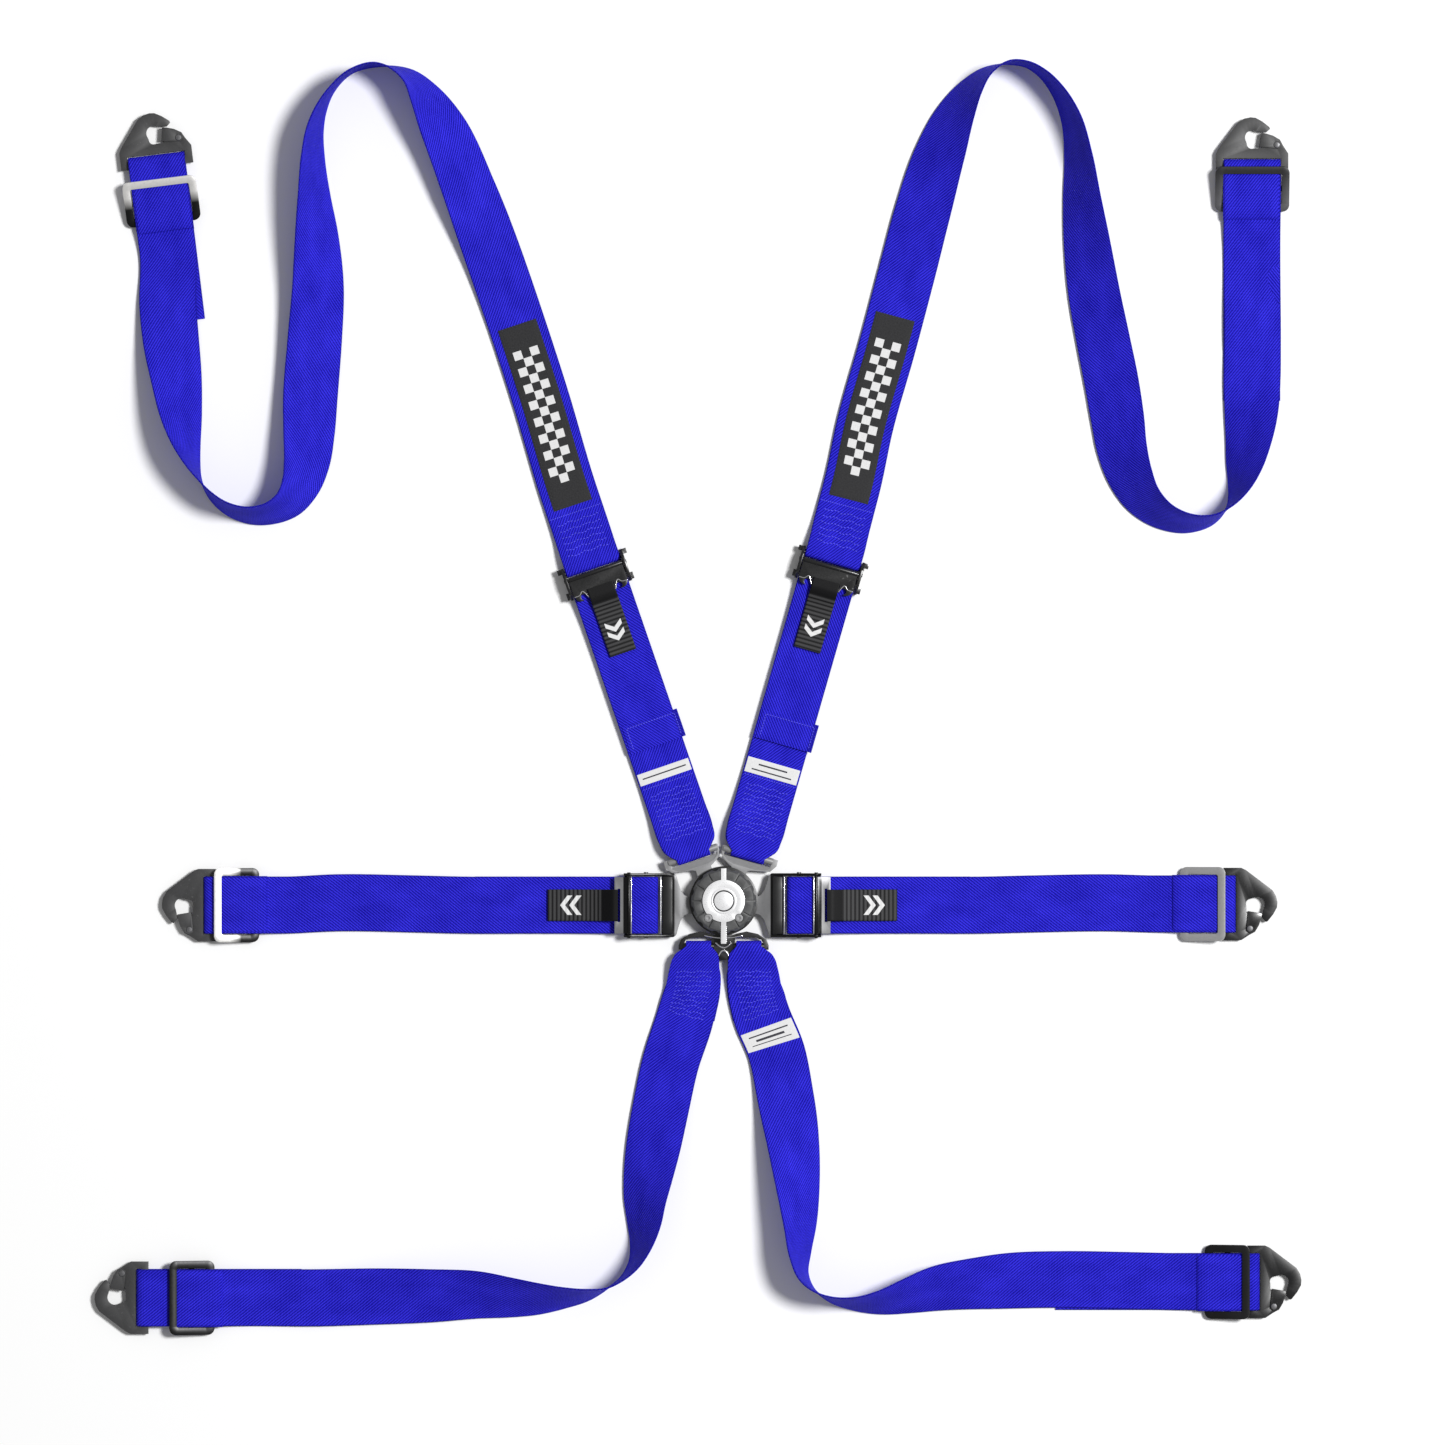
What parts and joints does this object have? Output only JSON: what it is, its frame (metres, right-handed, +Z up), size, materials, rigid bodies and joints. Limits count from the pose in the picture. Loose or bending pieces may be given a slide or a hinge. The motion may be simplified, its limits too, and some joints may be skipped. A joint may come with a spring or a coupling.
{
  "type": "racing harness",
  "caption": "Lap, shoulder and leg straps of blue webbing that meet in a turn-to-release buckle, with strap adjusters and a gated snap hook at the far end of each strap.",
  "frame": {"origin": "on the flat back of the buckle, under the middle of its release knob", "axes": "+Z up, away from the surface the harness lies on; +Y from the buckle towards the shoulder hooks, along the longest extent; +X towards the lap hook on the right as seen from above"},
  "size_m": [1.0574, 1.1146, 0.0528],
  "materials": {
    "webbing": "blue twill polyester webbing",
    "pull_tab": "black ribbed webbing",
    "shell": "dark grey enamel, satin",
    "ring": "dark grey enamel, satin",
    "disc": "brushed and polished",
    "tongue_bright": "satin",
    "tongue_grey": "satin grey steel",
    "tongue_black": "gloss black",
    "spring_steel": "bright",
    "screws": "bright",
    "adjuster": "dark grey enamel",
    "lever": "black enamel",
    "slide_black": "black enamel",
    "slide_bright": "satin, worn",
    "hook_grey": "dark grey enamel, satin",
    "hook_black": "gloss black enamel",
    "gate": "black enamel"
  },
  "bodies": {
    "buckle": {"buckle_back_plate": "shell", "buckle_housing": "shell", "housing_screws": "screws", "latch_spring": "spring_steel", "left_lap_tongue": "tongue_grey", "left_lap_roller": "spring_steel", "left_lap_webbing": "webbing", "left_lap_slide": "slide_bright"},
    "knob": {"knob_ring": "ring", "knob_lever": "disc", "knob_cap": "disc", "knob_screws": "screws", "release_cam": "spring_steel"},
    "left_shoulder": {"left_shoulder_tongue": "tongue_bright", "left_lower_shoulder_webbing": "webbing", "left_shoulder_adjuster": "adjuster", "left_shoulder_lock_bar": "spring_steel", "left_shoulder_webbing": "webbing", "left_shoulder_slide": "slide_bright"},
    "right_shoulder": {"right_shoulder_tongue": "tongue_bright", "right_lower_shoulder_webbing": "webbing", "right_shoulder_adjuster": "adjuster", "right_shoulder_lock_bar": "spring_steel", "right_shoulder_webbing": "webbing", "right_shoulder_slide": "slide_black"},
    "right_lap": {"right_lap_tongue": "tongue_grey", "right_lap_roller": "spring_steel", "right_lap_webbing": "webbing", "right_lap_slide": "slide_black"},
    "crotch": {"crotch_tongue": "tongue_black", "left_leg_webbing": "webbing", "right_leg_webbing": "webbing", "left_leg_slide": "slide_black", "right_leg_slide": "slide_black"},
    "left_shoulder_lever": {"left_shoulder_lever": "lever", "left_shoulder_pull_tab": "pull_tab"},
    "left_lap_lever": {"left_lap_lever": "disc", "left_lap_pull_tab": "pull_tab"},
    "right_shoulder_lever": {"right_shoulder_lever": "lever", "right_shoulder_pull_tab": "pull_tab"},
    "right_lap_lever": {"right_lap_lever": "disc", "right_lap_pull_tab": "pull_tab"},
    "left_shoulder_hook": {"left_shoulder_hook": "hook_grey", "left_shoulder_rivet": "spring_steel"},
    "left_shoulder_gate": {"left_shoulder_gate": "gate"},
    "right_shoulder_hook": {"right_shoulder_hook": "hook_black", "right_shoulder_rivet": "spring_steel"},
    "right_shoulder_gate": {"right_shoulder_gate": "gate"},
    "left_lap_hook": {"left_lap_hook": "hook_grey", "left_lap_rivet": "spring_steel"},
    "left_lap_gate": {"left_lap_gate": "gate"},
    "right_lap_hook": {"right_lap_hook": "hook_black", "right_lap_rivet": "spring_steel"},
    "right_lap_gate": {"right_lap_gate": "gate"},
    "left_leg_hook": {"left_leg_hook": "hook_grey", "left_leg_rivet": "spring_steel"},
    "left_leg_gate": {"left_leg_gate": "gate"},
    "right_leg_hook": {"right_leg_hook": "hook_black", "right_leg_rivet": "spring_steel"},
    "right_leg_gate": {"right_leg_gate": "gate"}
  },
  "joints": [
    {"name": "knob_turn", "type": "hinge", "parent": "buckle", "child": "knob", "pos_m": [0, 0, 0.018], "axis": [0, 0, 1], "range_deg": [-40, 40], "stiffness_Nm_per_rad": 0.15},
    {"name": "left_shoulder_release", "type": "slide", "parent": "buckle", "child": "left_shoulder", "axis": [-0.3256, 0.9455, 0], "range_m": [0, 0.03], "deforming": ["latch_spring"]},
    {"name": "right_shoulder_release", "type": "slide", "parent": "buckle", "child": "right_shoulder", "axis": [0.2756, 0.9613, 0], "range_m": [0, 0.03], "deforming": ["latch_spring"]},
    {"name": "right_lap_release", "type": "slide", "parent": "buckle", "child": "right_lap", "axis": [1, 0, 0], "range_m": [0, 0.03], "deforming": ["latch_spring"]},
    {"name": "crotch_release", "type": "slide", "parent": "buckle", "child": "crotch", "axis": [0, -1, 0], "range_m": [0, 0.03], "deforming": ["latch_spring"]},
    {"name": "left_shoulder_lever_lift", "type": "hinge", "parent": "left_shoulder", "child": "left_shoulder_lever", "pos_m": [-0.11246, 0.2882, 0.013], "axis": [-0.9455, -0.3256, 0], "range_deg": [0, 40], "stiffness_Nm_per_rad": 0.12, "springref_deg": -11.46},
    {"name": "right_shoulder_lever_lift", "type": "hinge", "parent": "right_shoulder", "child": "right_shoulder_lever", "pos_m": [0.09385, 0.29233, 0.013], "axis": [-0.9613, 0.2756, 0], "range_deg": [0, 40], "stiffness_Nm_per_rad": 0.12, "springref_deg": -11.46},
    {"name": "left_lap_lever_lift", "type": "hinge", "parent": "buckle", "child": "left_lap_lever", "pos_m": [-0.083, -0.004, 0.0149], "axis": [0, 1, 0], "range_deg": [0, 40], "stiffness_Nm_per_rad": 0.12, "springref_deg": -11.46},
    {"name": "right_lap_lever_lift", "type": "hinge", "parent": "right_lap", "child": "right_lap_lever", "pos_m": [0.081, -0.004, 0.0149], "axis": [0, -1, 0], "range_deg": [0, 40], "stiffness_Nm_per_rad": 0.12, "springref_deg": -11.46},
    {"name": "left_shoulder_hook_swivel", "type": "hinge", "parent": "left_shoulder", "child": "left_shoulder_hook", "pos_m": [-0.4965, 0.646, 0.0053], "axis": [0.9925, 0.1219, 0], "range_deg": [-55, 50]},
    {"name": "left_shoulder_gate_open", "type": "hinge", "parent": "left_shoulder_hook", "child": "left_shoulder_gate", "pos_m": [-0.4776, 0.66847, 0.0053], "axis": [0, 0, 1], "range_deg": [0, 28], "stiffness_Nm_per_rad": 0.03, "springref_deg": -11.46},
    {"name": "right_shoulder_hook_swivel", "type": "hinge", "parent": "right_shoulder", "child": "right_shoulder_hook", "pos_m": [0.463, 0.642, 0.0053], "axis": [1, 0, 0], "range_deg": [-55, 50]},
    {"name": "right_shoulder_gate_open", "type": "hinge", "parent": "right_shoulder_hook", "child": "right_shoulder_gate", "pos_m": [0.4845, 0.662, 0.0053], "axis": [0, 0, 1], "range_deg": [0, 28], "stiffness_Nm_per_rad": 0.03, "springref_deg": -11.46},
    {"name": "left_lap_hook_swivel", "type": "hinge", "parent": "buckle", "child": "left_lap_hook", "pos_m": [-0.448, -0.004, 0.0053], "axis": [0, 1, 0], "range_deg": [-55, 50]},
    {"name": "left_lap_gate_open", "type": "hinge", "parent": "left_lap_hook", "child": "left_lap_gate", "pos_m": [-0.468, -0.0255, 0.0053], "axis": [0, 0, -1], "range_deg": [0, 28], "stiffness_Nm_per_rad": 0.03, "springref_deg": -11.46},
    {"name": "right_lap_hook_swivel", "type": "hinge", "parent": "right_lap", "child": "right_lap_hook", "pos_m": [0.441, -0.003, 0.0053], "axis": [0, -1, 0], "range_deg": [-55, 50]},
    {"name": "right_lap_gate_open", "type": "hinge", "parent": "right_lap_hook", "child": "right_lap_gate", "pos_m": [0.461, -0.0245, 0.0053], "axis": [0, 0, 1], "range_deg": [0, 28], "stiffness_Nm_per_rad": 0.03, "springref_deg": -11.46},
    {"name": "left_leg_hook_swivel", "type": "hinge", "parent": "crotch", "child": "left_leg_hook", "pos_m": [-0.507, -0.348, 0.0053], "axis": [0, 1, 0], "range_deg": [-55, 50]},
    {"name": "left_leg_gate_open", "type": "hinge", "parent": "left_leg_hook", "child": "left_leg_gate", "pos_m": [-0.527, -0.3265, 0.0053], "axis": [0, 0, 1], "range_deg": [0, 28], "stiffness_Nm_per_rad": 0.03, "springref_deg": -11.46},
    {"name": "right_leg_hook_swivel", "type": "hinge", "parent": "crotch", "child": "right_leg_hook", "pos_m": [0.462, -0.334, 0.0053], "axis": [0, -1, 0], "range_deg": [-55, 50]},
    {"name": "right_leg_gate_open", "type": "hinge", "parent": "right_leg_hook", "child": "right_leg_gate", "pos_m": [0.482, -0.3555, 0.0053], "axis": [0, 0, 1], "range_deg": [0, 28], "stiffness_Nm_per_rad": 0.03, "springref_deg": -11.46}
  ]
}
